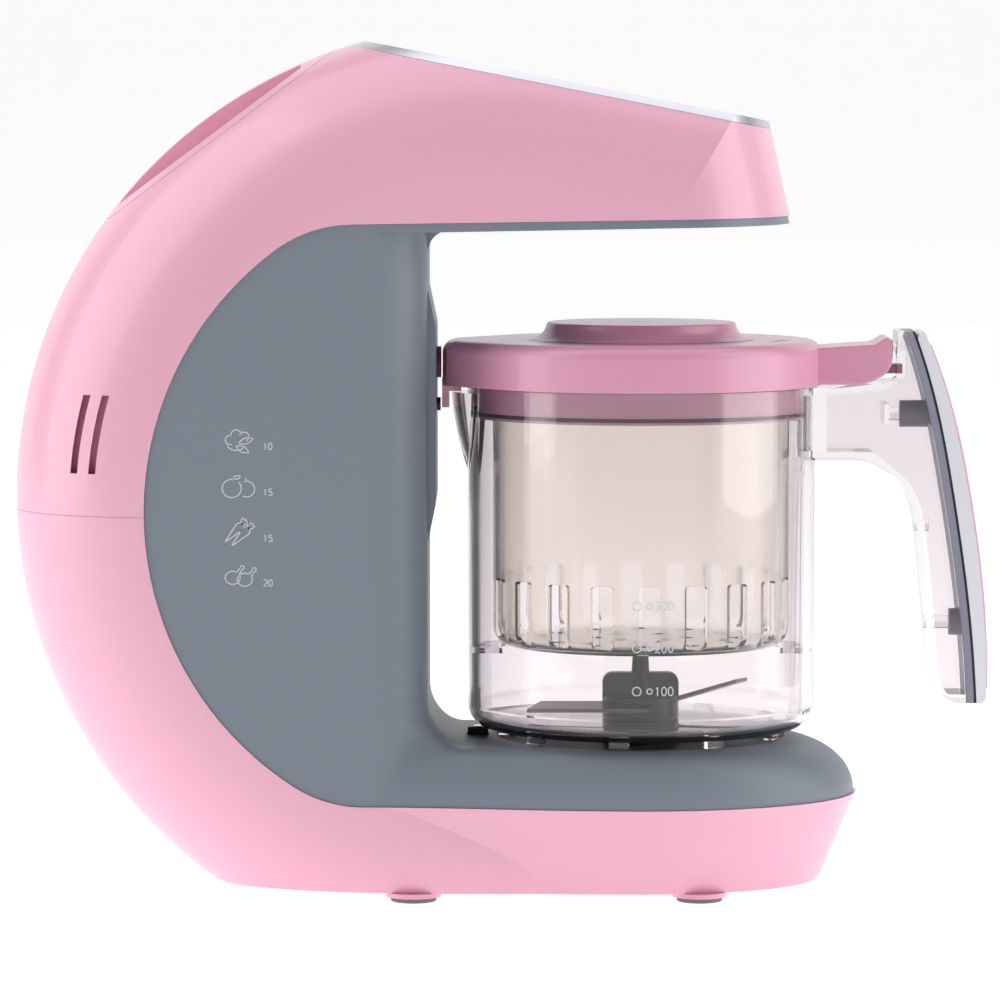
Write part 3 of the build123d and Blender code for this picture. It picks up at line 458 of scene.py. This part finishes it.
def lid_print():
    """Curved arrow for turning the lid shut."""
    radius, tip = 45, math.radians(-12)
    x, y = JUG_X + radius * math.cos(tip), radius * math.sin(tip)
    strokes = [arc(JUG_X, 0, radius, radius, -30, -12)]
    strokes.append([(x - 2.6, y - 1.6), (x, y), (x + 1.4, y - 2.8)])
    print_strokes("lid_arrow", strokes, 0.5, on_lid, MATS["print_dark"], "jug_lid")


column_print()
jug_print()
lid_print()


# ---------------------------------------------------------------- stage

def floor():
    """Pale floor running back and curving up into a wall."""
    depth, bend, height = 2.5, 1.5, 4.0
    profile = [(-4.0, 0.0), (depth, 0.0)]
    for i in range(1, 13):
        turn = math.radians(90 * i / 12)
        profile.append((depth + bend * math.sin(turn), bend - bend * math.cos(turn)))
    profile.append((depth + bend, height))
    bm = bmesh.new()
    rows = [[bm.verts.new((x, y, z)) for x in (-5, 5)] for y, z in profile]
    for a, b in zip(rows, rows[1:]):
        bm.faces.new((a[0], a[1], b[1], b[0]))
    paper = plain("floor_white", (0.62, 0.62, 0.62, 1), 0.7, specular=0.1)
    principled(paper).inputs["Emission Color"].default_value = (1, 1, 1, 1)
    principled(paper).inputs["Emission Strength"].default_value = 0.74
    mesh_object("floor", bm, paper)


def area_light(name, place, target, size, power, colour=(1, 1, 1)):
    """Soft box aimed at a point."""
    light = bpy.data.lights.new(name, "AREA")
    light.shape = "RECTANGLE"
    light.size, light.size_y = size
    light.energy = power
    light.color = colour
    obj = bpy.data.objects.new(name, light)
    obj.location = place
    aim = Vector(target) - Vector(place)
    obj.rotation_euler = aim.to_track_quat("-Z", "Y").to_euler()
    bpy.context.scene.collection.objects.link(obj)


def world():
    """Surroundings bright behind and to the sides, darker towards the viewer."""
    w = bpy.data.worlds.new("studio")
    bpy.context.scene.world = w
    w.use_nodes = True
    tree = w.node_tree
    coords = tree.nodes.new("ShaderNodeTexCoord")
    split = tree.nodes.new("ShaderNodeSeparateXYZ")
    fade = tree.nodes.new("ShaderNodeMapRange")
    fade.inputs["From Min"].default_value = -1.0
    fade.inputs["From Max"].default_value = 0.1
    fade.inputs["To Min"].default_value = 0.52
    fade.inputs["To Max"].default_value = 1.1
    tree.links.new(coords.outputs["Generated"], split.inputs["Vector"])
    tree.links.new(split.outputs["Y"], fade.inputs["Value"])
    tree.links.new(fade.outputs["Result"], tree.nodes["Background"].inputs["Strength"])


def camera():
    """Long lens, level with the top of the arm."""
    cam = bpy.data.cameras.new("camera")
    cam.lens = 198.5
    cam.sensor_width = 36
    obj = bpy.data.objects.new("camera", cam)
    obj.location = (-0.0004, -1.71875, 0.2498)
    obj.rotation_euler = (math.radians(90 - 4.284), 0, 0)
    bpy.context.scene.collection.objects.link(obj)
    bpy.context.scene.camera = obj


floor()
world()
camera()
area_light("left", (-1.5, -0.25, 0.95), (0, 0, 0.12), (1.5, 2.2), 22)
area_light("right", (1.5, -0.35, 0.4), (0, 0, 0.12), (1.3, 2.4), 22)
area_light("top", (0.0, 0.0, 1.4), (0, 0, 0.1), (1.6, 1.2), 8)

bpy.context.scene.view_settings.view_transform = "Standard"
